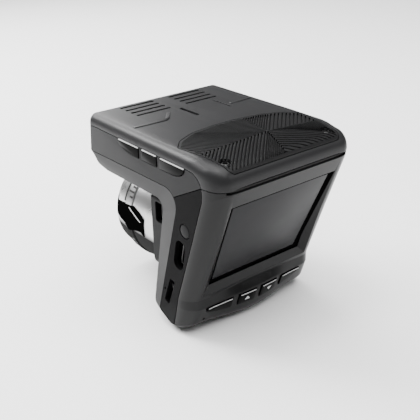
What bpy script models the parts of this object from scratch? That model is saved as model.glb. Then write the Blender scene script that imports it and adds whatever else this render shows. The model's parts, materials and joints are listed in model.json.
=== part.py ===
"""Combined radar detector and dash camera, hung from a windscreen bracket.

Frame: the origin is on the flat top between the two bracket slots, +Z up,
+Y towards the road, -Y towards the driver, +X to the driver's right.
Every size below is in millimetres; MM turns it into Blender's metres.
"""
import math

import bmesh
import bpy
from mathutils import Matrix, Vector

MM = 0.001

# ---------------------------------------------------------------- driving sizes
HALF_WIDTH = 33.1
REAR_Y = -56.4
SLAB_BOTTOM = -22.5
UPPER_SEAM = -4.5
LOWER_SEAM = -15.5
WALL = 2.0
GAP = 0.3
PANEL_IN = 30.8
LENS_Z = -46.7
LENS_R = 23.4
LENS_RIM_Y = 26.8
HOUSING_FRONT_Y = -11.4
HOUSING_HALF = 29.6
GLASS_TOP = (25.5, -53.9, -16.2)
GLASS_LOW = (22.8, -37.6, -53.7)
MOUTH_LOW = (27.0, -38.4, -57.9)
LIP_TILT = math.radians(12)


def low_seam(y):
    """Height of the lower split line on the side, which falls gently towards the nose."""
    return -14.8 - 0.0116 * (y + 34.8)


# The body is one lofted form. Each row is a corner of its side outline:
# centre line (y, z, r), side edge (y, z, r), side face (y, z, r),
# how far the edge rounding reaches in x, and 1 for an arc or 0 for a chamfer.
BODY_ROWS = [
    ((25.9, 0, 2.2), (25.9, 0, 2.2), (23.7, UPPER_SEAM, 0), 3.4, 1),
    ((26.8, LOWER_SEAM, 1.2), (26.8, LOWER_SEAM, 1.2), (25.2, low_seam(25.2), 0), 3.0, 1),
    ((23.6, SLAB_BOTTOM, 1.0), (23.6, SLAB_BOTTOM, 1.0), (22.8, low_seam(22.8), 0), 3.0, 0.6),
    ((17.0, SLAB_BOTTOM, 0), (17.0, SLAB_BOTTOM, 0), (16.5, low_seam(16.5), 0), 2.0, 0),
    ((-22.3, SLAB_BOTTOM, 4.0), (-22.3, SLAB_BOTTOM, 4.0), (-34.8, low_seam(-34.8), 6.5), 2.0, 0),
    ((-12.1, -70.6, 3.0), (-12.1, -70.6, 3.0), (-18.2, -70.5, 1.5), 2.0, 0),
    ((-21.0, -76.2, 4.0), (-21.0, -75.5, 4.0), (-26.6, -73.2, 0), 3.0, 0.6),
    ((-36.5, -76.2, 7.0), (-34.2, -73.8, 6.0), (-28.0, -72.8, 0), 6.6, 1),
    ((-40.6, -62.4, 2.0), (-38.1, -63.6, 2.0), (-30.4, -63.4, 0), 7.0, 1),
    ((-38.2, -58.6, 1.0), (-37.8, -59.8, 1.0), (-31.3, -59.4, 0), 7.0, 1),
    ((-46.9, -35.0, 0), (-46.9, -35.0, 0), (-41.2, -32.0, 14.0), 7.5, 1),
    ((-56.1, -10.3, 1.0), (-56.1, -10.3, 1.0), (-47.4, -14.0, 0), 7.0, 1),
    ((REAR_Y, -1.7, 6.0), (REAR_Y, -1.9, 6.0), (-48.2, -4.6, 6.5), 6.0, 1),
    ((-42.0, 0, 40.0), (-42.0, 0, 40.0), (-36.0, UPPER_SEAM, 1.0), 3.4, 1),
    ((-22.0, 0, 0), (-22.0, 0, 0), (-22.0, UPPER_SEAM, 0), 3.2, 1),
]
ARC_STEPS = 4
EDGE_STEPS = 4
CROWN_STEPS = 5

BODY = bpy.data.collections.new("radar_detector")
CUTTERS = bpy.data.collections.new("cutters")


# ---------------------------------------------------------------- materials
def finish(name, colour, roughness, metallic=0.0):
    """One Principled material, made once for each name."""
    material = bpy.data.materials.get(name)
    if material is None:
        material = bpy.data.materials.new(name)
        material.use_nodes = True
        shader = material.node_tree.nodes["Principled BSDF"]
        shader.inputs["Base Color"].default_value = (*colour, 1.0)
        shader.inputs["Roughness"].default_value = roughness
        shader.inputs["Metallic"].default_value = metallic
        material.diffuse_color = (*colour, 1.0)
    return material


FINISHES = {
    "satin_shell": ((0.12, 0.12, 0.125), 0.45),
    "dark_shell": ((0.06, 0.06, 0.062), 0.4),
    "gloss_bezel": ((0.03, 0.03, 0.032), 0.22),
    "grille_black": ((0.03, 0.03, 0.032), 0.5),
    "button_black": ((0.02, 0.02, 0.02), 0.3),
    "screen_glass": ((0.05, 0.05, 0.055), 0.05),
    "bright_silver": ((0.6, 0.6, 0.6), 0.25, 1.0),
    "optic_glass": ((0.02, 0.02, 0.03), 0.03),
    "board_green": ((0.02, 0.1, 0.05), 0.5),
    "steel": ((0.45, 0.45, 0.46), 0.35, 1.0),
    "black_plastic": ((0.015, 0.015, 0.015), 0.5),
    "ceramic": ((0.55, 0.5, 0.42), 0.6),
    "screw_black": ((0.05, 0.05, 0.05), 0.35, 0.8),
}


# ---------------------------------------------------------------- outlines
def rounded(corners, steps):
    """A closed outline whose corners (u, v, radius) become arcs of steps + 1 points."""
    points = []
    count = len(corners)
    for index, (u, v, radius) in enumerate(corners):
        here = Vector((u, v))
        if radius == 0:
            points += [here] * (steps + 1)
            continue
        before = (Vector(corners[index - 1][:2]) - here).normalized()
        after = (Vector(corners[(index + 1) % count][:2]) - here).normalized()
        opening = before.angle(after)
        reach = radius / math.tan(opening / 2)
        if math.pi - opening < 1e-4:
            start, end = here + before * radius, here + after * radius
            points += [start.lerp(end, k / steps) for k in range(steps + 1)]
            continue
        centre = here + (before + after).normalized() * (radius / math.sin(opening / 2))
        start = here + before * reach - centre
        end = here + after * reach - centre
        sweep = start.angle_signed(end)
        for k in range(steps + 1):
            turned = Matrix.Rotation(-sweep * k / steps, 2) @ start
            points.append(centre + turned)
    return points


def shifted(corners, distance):
    """The same outline moved inwards by distance, for a list that runs clockwise."""
    moved = []
    count = len(corners)
    for index, (u, v, radius) in enumerate(corners):
        here = Vector((u, v))
        into = (here - Vector(corners[index - 1][:2])).normalized()
        out = (Vector(corners[(index + 1) % count][:2]) - here).normalized()
        normal_in = Vector((into.y, -into.x))
        normal_out = Vector((out.y, -out.x))
        step = (normal_in + normal_out) / (1 + normal_in.dot(normal_out))
        place = here + step * distance
        moved.append((place.x, place.y, radius))
    return moved


# ---------------------------------------------------------------- object makers
def add_mesh(name, mesh, collection, material=None):
    """Link a mesh as an object, with smooth shading and one material."""
    thing = bpy.data.objects.new(name, mesh)
    collection.objects.link(thing)
    if material is not None:
        mesh.materials.clear()
        mesh.materials.append(finish(material, *FINISHES[material]))
    if collection is CUTTERS:
        thing.hide_render = True
        thing.display_type = "WIRE"
    mesh.shade_smooth()
    mesh.set_sharp_from_angle(angle=math.radians(35))
    return thing


def bake(thing):
    """Write an object's evaluated shape and its transform into a plain mesh."""
    bpy.context.view_layer.update()
    graph = bpy.context.evaluated_depsgraph_get()
    mesh = bpy.data.meshes.new_from_object(thing.evaluated_get(graph))
    mesh.transform(thing.matrix_world)
    form = bmesh.new()
    form.from_mesh(mesh)
    bmesh.ops.remove_doubles(form, verts=form.verts, dist=1e-6)
    bmesh.ops.recalc_face_normals(form, faces=form.faces)
    form.to_mesh(mesh)
    form.free()
    mesh.name = thing.name
    return mesh


TURNS = {
    "x": (math.pi / 2, 0, math.pi / 2),
    "y": (math.pi / 2, 0, 0),
    "z": (0, 0, 0),
}


def plate(name, outline, axis, low, high, collection, material=None, holes=()):
    """A flat outline, (y, z), (x, z) or (x, y), extruded from low to high along its axis."""
    data = bpy.data.curves.new(name, "CURVE")
    data.dimensions = "2D"
    data.fill_mode = "BOTH"
    data.extrude = (high - low) / 2 * MM
    for ring in (outline, *holes):
        spline = data.splines.new("POLY")
        spline.points.add(len(ring) - 1)
        for point, place in zip(spline.points, ring):
            point.co = (place[0] * MM, place[1] * MM, 0, 1)
        spline.use_cyclic_u = True
    guide = bpy.data.objects.new(name + "_outline", data)
    guide.rotation_euler = TURNS[axis]
    middle = (high + low) / 2 * MM
    guide.location = (middle * (axis == "x"), middle * (axis == "y"), middle * (axis == "z"))
    CUTTERS.objects.link(guide)
    mesh = bake(guide)
    bpy.data.objects.remove(guide)
    return add_mesh(name, mesh, collection, material)


def block(name, low, high, collection, material=None, bevel=0.0):
    """A box between two corners, its edges bevelled when bevel is given."""
    low = Vector(low)
    high = Vector(high)
    form = bmesh.new()
    bmesh.ops.create_cube(form, size=1.0)
    size = (high - low) * MM
    bmesh.ops.scale(form, vec=size, verts=form.verts)
    mesh = bpy.data.meshes.new(name)
    form.to_mesh(mesh)
    form.free()
    thing = add_mesh(name, mesh, collection, material)
    thing.location = (low + high) / 2 * MM
    if bevel:
        soften = thing.modifiers.new("edges", "BEVEL")
        soften.width = bevel * MM
        soften.segments = 2
    return thing


def turned(name, profile, base, direction, collection, material=None, sides=32):
    """A profile of (radius, height) points, turned about an axis through base."""
    mesh = bpy.data.meshes.new(name)
    points = [(radius * MM, 0, height * MM) for radius, height in profile]
    count = len(points)
    closed = min(radius for radius, height in profile) > 0
    edges = [(k, (k + 1) % count) for k in range(count if closed else count - 1)]
    mesh.from_pydata(points, edges, [])
    thing = add_mesh(name, mesh, collection, material)
    screw = thing.modifiers.new("turn", "SCREW")
    screw.axis = "Z"
    screw.steps = sides
    screw.render_steps = sides
    screw.use_merge_vertices = True
    screw.merge_threshold = 1e-5
    screw.use_smooth_shade = True
    thing.location = Vector(base) * MM
    aim = Vector(direction).to_track_quat("Z", "Y")
    thing.rotation_euler = aim.to_euler()
    return thing


def rod(name, radius, base, direction, length, collection, material=None, sides=24):
    """A plain round bar from base along direction."""
    profile = [(0, length), (radius, length), (radius, 0), (0, 0)]
    return turned(name, profile, base, direction, collection, material, sides)


def cut(thing, cutter, operation="DIFFERENCE"):
    """Add one Boolean to a piece. EXACT turns the lower housing inside out, so that one differs."""
    boolean = thing.modifiers.new("cut_" + cutter.name, "BOOLEAN")
    boolean.operation = operation
    boolean.solver = "MANIFOLD" if thing.name == "lower_housing" else "EXACT"
    boolean.object = cutter


def weld(thing):
    """Close the hair-thin slivers that crossing cuts leave."""
    modifier = thing.modifiers.new("weld", "WELD")
    modifier.merge_threshold = 0.00001


# ---------------------------------------------------------------- body form
def body_form(name, inset, collection):
    """The closed form of the whole body, or of its hollow when inset is the wall."""
    centre_row = [row[0] for row in BODY_ROWS]
    edge_row = [row[1] for row in BODY_ROWS]
    side_row = [row[2] for row in BODY_ROWS]
    if inset:
        centre_row = shifted(centre_row, inset)
        edge_row = shifted(edge_row, inset)
        side_row = shifted(side_row, 0.3)
    centre = rounded(centre_row, ARC_STEPS)
    edge = rounded(edge_row, ARC_STEPS)
    side = rounded(side_row, ARC_STEPS)
    half = (HALF_WIDTH - inset) * MM
    shrink = 0.7 if inset > 0 else 1.0
    form = bmesh.new()
    ribs = []
    for index, (mid, rim, flat) in enumerate(zip(centre, edge, side)):
        row = BODY_ROWS[index // (ARC_STEPS + 1)]
        reach = row[3] * shrink * MM
        rib = half_rib(mid * MM, rim * MM, flat * MM, half, reach, row[4])
        left = [form.verts.new((-x, y, z)) for x, y, z in reversed(rib)]
        right = [form.verts.new(place) for place in rib[1:]]
        ribs.append(left + right)
    count = len(ribs)
    for index in range(count):
        one = ribs[index]
        two = ribs[(index + 1) % count]
        for k in range(len(one) - 1):
            form.faces.new((one[k], one[k + 1], two[k + 1], two[k]))
    form.faces.new([rib[0] for rib in ribs])
    form.faces.new([rib[-1] for rib in reversed(ribs)])
    bmesh.ops.remove_doubles(form, verts=form.verts, dist=1e-6)
    bmesh.ops.recalc_face_normals(form, faces=form.faces)
    mesh = bpy.data.meshes.new(name)
    form.to_mesh(mesh)
    form.free()
    return add_mesh(name, mesh, collection)


def half_rib(mid, rim, flat, half, reach, arc):
    """Points from the centre plane out over the crown and round the edge to the side."""
    points = []
    edge_x = half - reach
    for k in range(CROWN_STEPS):
        part = k / CROWN_STEPS
        swell = (1 - part * part) ** 2
        place = rim.lerp(mid, swell)
        points.append((edge_x * part, place.x, place.y))
    for k in range(EDGE_STEPS + 1):
        part = k / EDGE_STEPS
        angle = part * math.pi / 2
        out = edge_x + reach * (arc * math.sin(angle) + (1 - arc) * part)
        place = flat.lerp(rim, arc * math.cos(angle) + (1 - arc) * (1 - part))
        points.append((out, place.x, place.y))
    return points


# ---------------------------------------------------------------- split lines
def side_point(row, step):
    """A point of the side face's outline, by its corner and its place on that corner's arc."""
    return SIDE_LOOP[row * (ARC_STEPS + 1) + step]


def grown(outline, distance):
    """Move a plain outline outwards, or inwards when distance is negative."""
    turn = 0.0
    for index, place in enumerate(outline):
        before = outline[index - 1]
        turn += before[0] * place[1] - before[1] * place[0]
    ordered = list(outline) if turn < 0 else list(reversed(outline))
    moved = shifted([(place[0], place[1], 0) for place in ordered], -distance)
    return [(y, z) for y, z, _ in moved]


SIDE_LOOP = rounded([row[2] for row in BODY_ROWS], ARC_STEPS)
REAR_END = side_point(12, 1)
SPLIT_END = side_point(4, 2)
TOP_SEAM = [side_point(12, step) for step in range(ARC_STEPS, 0, -1)]
LOW_SEAM = [(60, low_seam(60)), side_point(4, 0), side_point(4, 1), SPLIT_END]
FRONT_EDGE = [side_point(4, 3), side_point(4, 4), side_point(5, 0), side_point(5, 2)]
REAR_SEAM = [side_point(12, 0), side_point(11, 2)]
REAR_SEAM += [side_point(10, step) for step in range(ARC_STEPS, -1, -1)]
REAR_SEAM += [side_point(9, 2), side_point(8, 2), side_point(7, 2)]
FAR = 95
BOTTOM_SEAM = (REAR_SEAM[-1][0] + 1.5, -FAR)

TOP_REGION = [(60, 40), (60, UPPER_SEAM), *TOP_SEAM, (-FAR, REAR_END[1]), (-FAR, 40)]
FRAME_REGION = [(60, UPPER_SEAM), *TOP_SEAM, *reversed(LOW_SEAM)]
PANEL_REGION = [REAR_END, SPLIT_END, *FRONT_EDGE, (-20, -FAR), BOTTOM_SEAM]
PANEL_REGION += reversed(REAR_SEAM)
BEZEL_REGION = [(-FAR, REAR_END[1]), REAR_END, *REAR_SEAM, BOTTOM_SEAM, (-FAR, -FAR)]
LOWER_REGION = [*LOW_SEAM, REAR_END, *REAR_SEAM, BOTTOM_SEAM, (60, -FAR)]


def shell(name, material, region, hollow):
    """One shell: the body form kept inside a region of the side view, then hollowed."""
    thing = add_mesh(name, bpy.data.objects["body_form"].data.copy(), BODY, material)
    keep = plate(name + "_region", grown(region, -GAP / 2), "x", -60, 60, CUTTERS)
    cut(thing, keep, "INTERSECT")
    cut(thing, hollow)
    return thing


# ---------------------------------------------------------------- top cover and grille
def slot_ring(x, y, length, width, lengthways):
    """A slot with round ends, along x or along y."""
    half_x, half_y = (length / 2, width / 2) if lengthways == "x" else (width / 2, length / 2)
    corners = [(x - half_x, y + half_y), (x + half_x, y + half_y)]
    corners += [(x + half_x, y - half_y), (x - half_x, y - half_y)]
    return rounded([(u, v, width * 0.49) for u, v in corners], 3)


def grille_outline():
    """The speaker grille seen from above: a bowed front edge and sides that close to the rear."""
    half = [(6, -19.9, 30), (17, -21.6, 14), (25.0, -25.4, 6), (29.7, -30.6, 1.6)]
    half += [(26.4, -54.8, 2.2)]
    mirrored = [(-x, y, radius) for x, y, radius in reversed(half)]
    return rounded([*half, *mirrored], 3)


def make_top_cover(hollow):
    cover = shell("top_cover", "satin_shell", TOP_REGION, hollow)
    vents = []
    for x in (-12, 12):
        for row in range(4):
            vents.append(slot_ring(x, 21.6 - 4.05 * row, 16.4, 1.4, "x"))
    vents.append(slot_ring(-1.45, 0, 12.1, 1.7, "y"))
    vents.append(slot_ring(15.2, -0.3, 11.7, 0.7, "y"))
    cut(cover, plate("cover_slots", vents[0], "z", -4, 4, CUTTERS, holes=vents[1:]))
    cut(cover, plate("grille_opening", grown(grille_outline(), GAP), "z", -9, 4, CUTTERS))
    return cover


SCREW_SPOTS = [(-24.2, -49.3), (24.2, -49.3)]


def make_grille(hollow):
    grille = add_mesh("speaker_grille", bpy.data.objects["body_form"].data.copy(), BODY, "grille_black")
    cut(grille, plate("grille_edge", grille_outline(), "z", -9, 4, CUTTERS), "INTERSECT")
    cut(grille, hollow)
    slots = [slot_ring(0, -25 - 3 * row, 34 - 1.2 * row, 1.0, "x") for row in range(8)]
    cut(grille, plate("grille_slots", slots[0], "z", -9, 4, CUTTERS, holes=slots[1:]))
    for side, (x, y) in zip(("left", "right"), SCREW_SPOTS):
        hole = rod("grille_screw_hole_" + side, 2.0, (x, y, -8), (0, 0, 1), 12, CUTTERS)
        cut(grille, hole)
        profile = [(0, 4.4), (1.6, 4.4), (1.6, 3.4), (0.8, 2.9), (0.8, 0), (0, 0)]
        turned("grille_screw_" + side, profile, (x, y, -6.6), (0, 0, 1), BODY, "screw_black", 16)


# ---------------------------------------------------------------- middle frame and side buttons
SIDE_BUTTON_TOP = -4.9
SIDE_BUTTON_HEIGHT = 3.8


def quarter(centre, reach, height, steps=5):
    """A quarter ellipse from the top edge down to the bottom edge of the button group."""
    angles = [math.pi / 2 * k / steps for k in range(steps + 1)]
    return [(centre + reach * math.cos(a), SIDE_BUTTON_TOP - height * math.sin(a)) for a in angles]


def side_button_outlines():
    """Front, middle and rear side button, (y, z): together they make a boat shape."""
    low = SIDE_BUTTON_TOP - SIDE_BUTTON_HEIGHT
    front = [*quarter(-6, 9.4, SIDE_BUTTON_HEIGHT), (-10.4, low), (-10.4, SIDE_BUTTON_TOP)]
    middle = [(-12.4, SIDE_BUTTON_TOP), (-12.4, low), (-21.9, low), (-21.9, SIDE_BUTTON_TOP)]
    rear = [*quarter(-30.6, -7.6, SIDE_BUTTON_HEIGHT), (-23.9, low), (-23.9, SIDE_BUTTON_TOP)]
    return {"mute_button": front, "marker_button": middle, "dim_button": rear}


def make_frame(hollow):
    frame = shell("middle_frame", "satin_shell", FRAME_REGION, hollow)
    window = [(9.7, -13.3, 1), (24.3, -13.3, 1), (24.3, -5.9, 1), (9.7, -5.9, 1)]
    cut(frame, plate("laser_opening", rounded(window, 2), "y", 20, 30, CUTTERS))
    pane = [(x, z) for x, z in grown(rounded(window, 2), -GAP)]
    plate("laser_window", pane, "y", 24.6, 26.0, BODY, "optic_glass")
    for name, outline in side_button_outlines().items():
        cut(frame, plate(name + "_hole", grown(outline, GAP), "x", -40, -30, CUTTERS))
        plate(name, outline, "x", -33.4, -30.9, BODY, "button_black")
    block("side_button_board", (-29.0, -37, -9.2), (-28.0, -4, -5.0), BODY, "board_green")
    for name, y in (("mute", -5.5), ("marker", -17.2), ("dim", -30.2)):
        block(name + "_switch", (-30.3, y - 1.6, -8.4), (-29.3, y + 1.6, -5.4), BODY, "steel")


# ---------------------------------------------------------------- arm panels and their ports
HDMI_PLACE = (-33.35, -39.95)
HDMI_SIZE = (12.4, 5.7)
HDMI_LEAN = math.atan2(2.7, 12.1)
CARD_PLACE = (-25.95, -58.55)
CARD_SIZE = (12.3, 3.0)
CARD_LEAN = math.atan2(4.5, 11.5)
POWER_PLACE = (-37.1, -28.8)
RESET_PLACE = (-23.0, -58.5)


def leaning(place, size, lean, radius, spare=0.0):
    """A rounded rectangle, longest downwards, turned by lean in the side view."""
    long_half = size[0] / 2 + spare
    wide_half = size[1] / 2 + spare
    corners = [(-wide_half, long_half), (wide_half, long_half)]
    corners += [(wide_half, -long_half), (-wide_half, -long_half)]
    shape = rounded([(u, v, radius) for u, v in corners], 4)
    turn = Matrix.Rotation(lean, 2)
    return [turn @ point + Vector(place) for point in shape]


def make_panels():
    for side, sign in (("left", -1), ("right", 1)):
        name = "arm_panel_" + side
        panel = add_mesh(name, bpy.data.objects["body_form"].data.copy(), BODY, "dark_shell")
        inner = PANEL_IN + GAP / 2
        low, high = sorted((sign * inner, sign * 60))
        keep = plate(name + "_region", grown(PANEL_REGION, -GAP / 2), "x", low, high, CUTTERS)
        cut(panel, keep, "INTERSECT")
        if side == "left":
            cut_ports(panel)


def cut_ports(panel):
    """The power button's hole, the two sockets' openings and the reset hole."""
    y, z = POWER_PLACE
    cut(panel, rod("power_hole", 2.9, (-40, y, z), (1, 0, 0), 12, CUTTERS))
    cut(panel, rod("reset_hole", 0.5, (-40, *RESET_PLACE), (1, 0, 0), 12, CUTTERS, sides=12))
    hdmi = leaning(HDMI_PLACE, HDMI_SIZE, HDMI_LEAN, 2.6)
    card = leaning(CARD_PLACE, CARD_SIZE, CARD_LEAN, 0.8)
    cut(panel, plate("port_openings", hdmi, "x", -40, -28, CUTTERS, holes=[card]))


def make_ports():
    y, z = POWER_PLACE
    rod("power_button", 2.6, (-33.1, y, z), (1, 0, 0), 2.6, BODY, "dark_shell")
    block("power_switch", (-29.9, y - 2, z - 2), (-28.6, y + 2, z + 2), BODY, "steel")
    shell_size = (HDMI_SIZE[0] - 1.2, HDMI_SIZE[1] - 2.1)
    hdmi = leaning(HDMI_PLACE, shell_size, HDMI_LEAN, 0.8)
    mouth = leaning(HDMI_PLACE, shell_size, HDMI_LEAN, 0.5, -0.45)
    socket = plate("mini_hdmi_socket", hdmi, "x", -30.4, -23, BODY, "steel")
    cut(socket, plate("hdmi_mouth", mouth, "x", -35, -24.4, CUTTERS))
    card = leaning(CARD_PLACE, (14.0, 2.0), CARD_LEAN, 0.3)
    throat = leaning(CARD_PLACE, (11.4, 0.9), CARD_LEAN, 0.2)
    holder = plate("card_socket", card, "x", -30.4, -16, BODY, "steel")
    cut(holder, plate("card_throat", throat, "x", -35, -17.2, CUTTERS))
    y, z = RESET_PLACE
    block("reset_switch", (-30.3, y - 1.4, z - 1.4), (-29.0, y + 1.4, z + 1.4), BODY, "steel")


# ---------------------------------------------------------------- rear bezel, display and menu buttons
SCREEN_LEAN = math.atan2(GLASS_TOP[1] - GLASS_LOW[1], GLASS_TOP[2] - GLASS_LOW[2])
SCREEN_MIDDLE = Vector((0, (GLASS_TOP[1] + GLASS_LOW[1]) / 2, (GLASS_TOP[2] + GLASS_LOW[2]) / 2))
SCREEN_HALF = math.hypot(GLASS_TOP[1] - GLASS_LOW[1], GLASS_TOP[2] - GLASS_LOW[2]) / 2
LIP_MIDDLE = Vector((0, -39.9, -65.5))


def on_screen(thing):
    """Stand a flat piece in the display's plane, its local Z pointing out at the driver."""
    thing.rotation_euler = (math.pi / 2 - SCREEN_LEAN, 0, 0)
    thing.location = SCREEN_MIDDLE * MM


def screen_outline(shrink):
    high = SCREEN_HALF - shrink
    top = GLASS_TOP[0] - shrink
    low = GLASS_LOW[0] - shrink
    return [(-top, high), (top, high), (low, -high), (-low, -high)]


def screen_plate(name, outline, low, high, collection, material=None):
    """A plate parallel to the display, from low to high along its outward normal."""
    thing = plate(name, outline, "z", low, high, collection, material)
    on_screen(thing)
    return thing


def recess_cutter():
    """The display's flared recess: flush at the top edge and deep at the bottom."""
    reach = 1.5
    low = Vector(GLASS_LOW).lerp(Vector(MOUTH_LOW), reach)
    corners = []
    for sign in (-1, 1):
        for x, y, z in (GLASS_TOP, GLASS_LOW, (GLASS_TOP[0] + 1, -60.5, -13.6), low):
            corners.append(Vector((sign * x, y, z)) * MM)
    form = bmesh.new()
    for place in corners:
        form.verts.new(place)
    bmesh.ops.convex_hull(form, input=form.verts)
    mesh = bpy.data.meshes.new("display_recess")
    form.to_mesh(mesh)
    form.free()
    return add_mesh("display_recess", mesh, CUTTERS)


def lip_top(x):
    return 2.5 - 1.7 * (x / 24.6) ** 2


def menu_button_outlines():
    """The four menu buttons in the lip's plane, (x, up along the lip)."""
    inner = [(1.3, lip_top(1.3)), (9.8, lip_top(9.8)), (9.8, -2.9), (1.3, -3.1)]
    outer = [(12.8, lip_top(12.8)), (19, lip_top(19)), (24.4, lip_top(24.4))]
    outer += [(24.6, -0.2), (23.2, -1.6), (20.2, -2.4), (16.5, -2.8), (12.8, -2.9)]
    outlines = {"down_button": inner, "ok_button": outer}
    for name, source in (("up_button", inner), ("menu_button", outer)):
        outlines[name] = [(-x, up) for x, up in reversed(source)]
    return outlines


def lip_plate(name, outline, low, high, collection, material=None):
    """A plate parallel to the lip, from low to high along its outward normal."""
    thing = plate(name, outline, "z", low, high, collection, material)
    thing.rotation_euler = (math.pi / 2 + LIP_TILT, 0, 0)
    thing.location = LIP_MIDDLE * MM
    return thing


def make_bezel(hollow, proud):
    bezel = shell("rear_bezel", "gloss_bezel", BEZEL_REGION, hollow)
    cut(bezel, recess_cutter())
    cut(bezel, screen_plate("display_opening", screen_outline(0), -8, 0.5, CUTTERS))
    for name, outline in menu_button_outlines().items():
        cut(bezel, lip_plate(name + "_hole", grown(outline, GAP), -7, 6, CUTTERS))
        button = add_mesh(name, proud.data.copy(), BODY, "button_black")
        cut(button, lip_plate(name + "_edge", outline, -4.0, 6, CUTTERS), "INTERSECT")
    cut(bezel, rod("microphone_hole", 0.5, (-24.6, -45, -70.0), (0, 1, 0), 20, CUTTERS, sides=12))


def make_display():
    screen_plate("display_glass", screen_outline(GAP), -1.2, 0, BODY, "screen_glass")
    screen_plate("lcd_panel", screen_outline(1.0), -4.2, -1.5, BODY, "black_plastic")
    board = [(-21, 17), (21, 17), (21, -17), (-21, -17)]
    screen_plate("display_board", board, -9.2, -8.0, BODY, "board_green")
    strip = [(-20, 2.6), (20, 2.6), (20, -3.4), (-20, -3.4)]
    lip_plate("menu_button_board", strip, -7.6, -6.6, BODY, "board_green")
    for name, x in (("menu", -17.5), ("up", -5.5), ("down", 5.5), ("ok", 17.5)):
        square = [(x - 1.6, 1.3), (x + 1.6, 1.3), (x + 1.6, -1.9), (x - 1.6, -1.9)]
        lip_plate(name + "_switch", square, -6.3, -4.9, BODY, "steel")


# ---------------------------------------------------------------- lower housing and camera
CASE_SCREWS = [(-25.8, 12.5), (25.8, 12.5), (-25.8, -14), (25.8, -14)]


def make_lower_housing(hollow):
    housing = shell("lower_housing", "dark_shell", LOWER_REGION, hollow)
    for side, sign in (("left", -1), ("right", 1)):
        low, high = sorted((sign * (PANEL_IN - GAP / 2), sign * 60))
        outline = grown(PANEL_REGION, GAP / 2)
        cut(housing, plate("panel_room_" + side, outline, "x", low, high, CUTTERS))
    cut(housing, rod("camera_hole", 12, (0, -32, LENS_Z), (0, 1, 0), 30, CUTTERS, sides=22))
    for index, (x, y) in enumerate(CASE_SCREWS, start=1):
        cut(housing, rod(f"case_screw_hole_{index}", 2.5, (x, y, -26), (0, 0, 1), 8, CUTTERS))
        profile = [(0, 10), (1.0, 10), (1.0, 1.6), (2.1, 1.6), (2.1, 0), (0, 0)]
        turned(f"case_screw_{index}", profile, (x, y, -22.2), (0, 0, 1), BODY, "screw_black", 16)


def housing_outline():
    """The camera housing seen from the front, (x, z)."""
    top = SLAB_BOTTOM - GAP
    half = [(HOUSING_HALF, top, 2.6), (HOUSING_HALF, -52, 4), (17.5, -67.8, 9)]
    mirrored = [(-x, z, radius) for x, z, radius in reversed(half)]
    return rounded([*half, *mirrored], 4)


def make_lens_housing(clearance):
    outline = housing_outline()
    housing = plate("lens_housing", outline, "y", -30, HOUSING_FRONT_Y, BODY, "dark_shell")
    cut(housing, clearance)
    inner = grown(outline, -WALL)
    cut(housing, plate("lens_housing_hollow", inner, "y", -40, HOUSING_FRONT_Y - WALL, CUTTERS))
    cut(housing, rod("lens_hole", 10, (0, -20, LENS_Z), (0, 1, 0), 20, CUTTERS))
    usb = rounded([(-18.4, -25.7, 0.8), (-14.1, -25.7, 0.8), (-14.1, -34.1, 0.8), (-18.4, -34.1, 0.8)], 2)
    cut(housing, plate("usb_opening", usb, "x", -35, -25, CUTTERS))
    socket = plate("mini_usb_socket", grown(usb, -0.4), "x", -27.2, -19, BODY, "steel")
    cut(socket, plate("usb_mouth", grown(usb, -0.9), "x", -30, -20.2, CUTTERS))


def along_lens(name, profile, y, material, sides=48):
    """A piece turned about the camera's axis; heights in the profile run towards the road."""
    return turned(name, profile, (0, y, LENS_Z), (0, 1, 0), BODY, material, sides)


def tube(outer, inner, length):
    return [(outer, length), (outer, 0), (inner, 0), (inner, length)]


def make_lens():
    rear = HOUSING_FRONT_Y + GAP
    ring = (14.4, 18.9)
    front_length = LENS_RIM_Y - ring[1] - GAP
    along_lens("lens_rear_barrel", tube(LENS_R, 21.5, ring[0] - GAP - rear), rear, "bright_silver")
    along_lens("lens_scale_ring", tube(LENS_R + 0.4, 21.5, ring[1] - ring[0]), ring[0], "bright_silver")
    front = [(22.7, front_length - 0.6), (LENS_R, 0), (21.5, 0), (21.5, front_length)]
    front += [(22.2, front_length)]
    along_lens("lens_front_barrel", front, ring[1] + GAP, "bright_silver")
    core = [(21.2, 35.6), (21.2, 0), (19.6, 0), (19.6, 35.6)]
    along_lens("lens_core_tube", core, rear, "black_plastic")
    cone = [(19.3, 14), (19.3, 0), (9.0, 0), (9.0, 2.0), (17.6, 14)]
    along_lens("lens_hood_ring", cone, 10.2, "black_plastic")
    element = [(0, 3.2), (3.5, 2.8), (6.2, 1.6), (8.0, 0), (8.0, -1.0), (0, -1.0)]
    along_lens("front_lens", element, 10.2, "optic_glass", 32)
    along_lens("lens_tube", tube(8.4, 7.2, 31.6), -22.8, "black_plastic", 32)
    rear_element = [(0, 1.6), (5.0, 0.9), (6.8, 0), (6.8, -0.8), (0, -0.8)]
    along_lens("rear_lens", rear_element, -14, "optic_glass", 24)
    block("image_sensor_board", (-13, -24.6, LENS_Z - 11), (13, -23.2, LENS_Z + 11), BODY, "board_green")


# ---------------------------------------------------------------- inside the slab
HORN_X = -7


def horn(name, scale):
    """A tapered horn between its small rear and its wide mouth, as a convex form."""
    form = bmesh.new()
    spare = 1.2 * (1 - scale)
    for y, half_x, half_z in ((-4 + spare * 2, 6.0, 3.4), (18 + (1 - scale) * 4, 14.0, 4.6)):
        for sign_x in (-1, 1):
            for sign_z in (-1, 1):
                x = HORN_X + sign_x * (half_x - spare)
                form.verts.new(Vector((x, y, -15.6 + sign_z * (half_z - spare))) * MM)
    bmesh.ops.convex_hull(form, input=form.verts)
    mesh = bpy.data.meshes.new(name)
    form.to_mesh(mesh)
    form.free()
    return mesh


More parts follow.
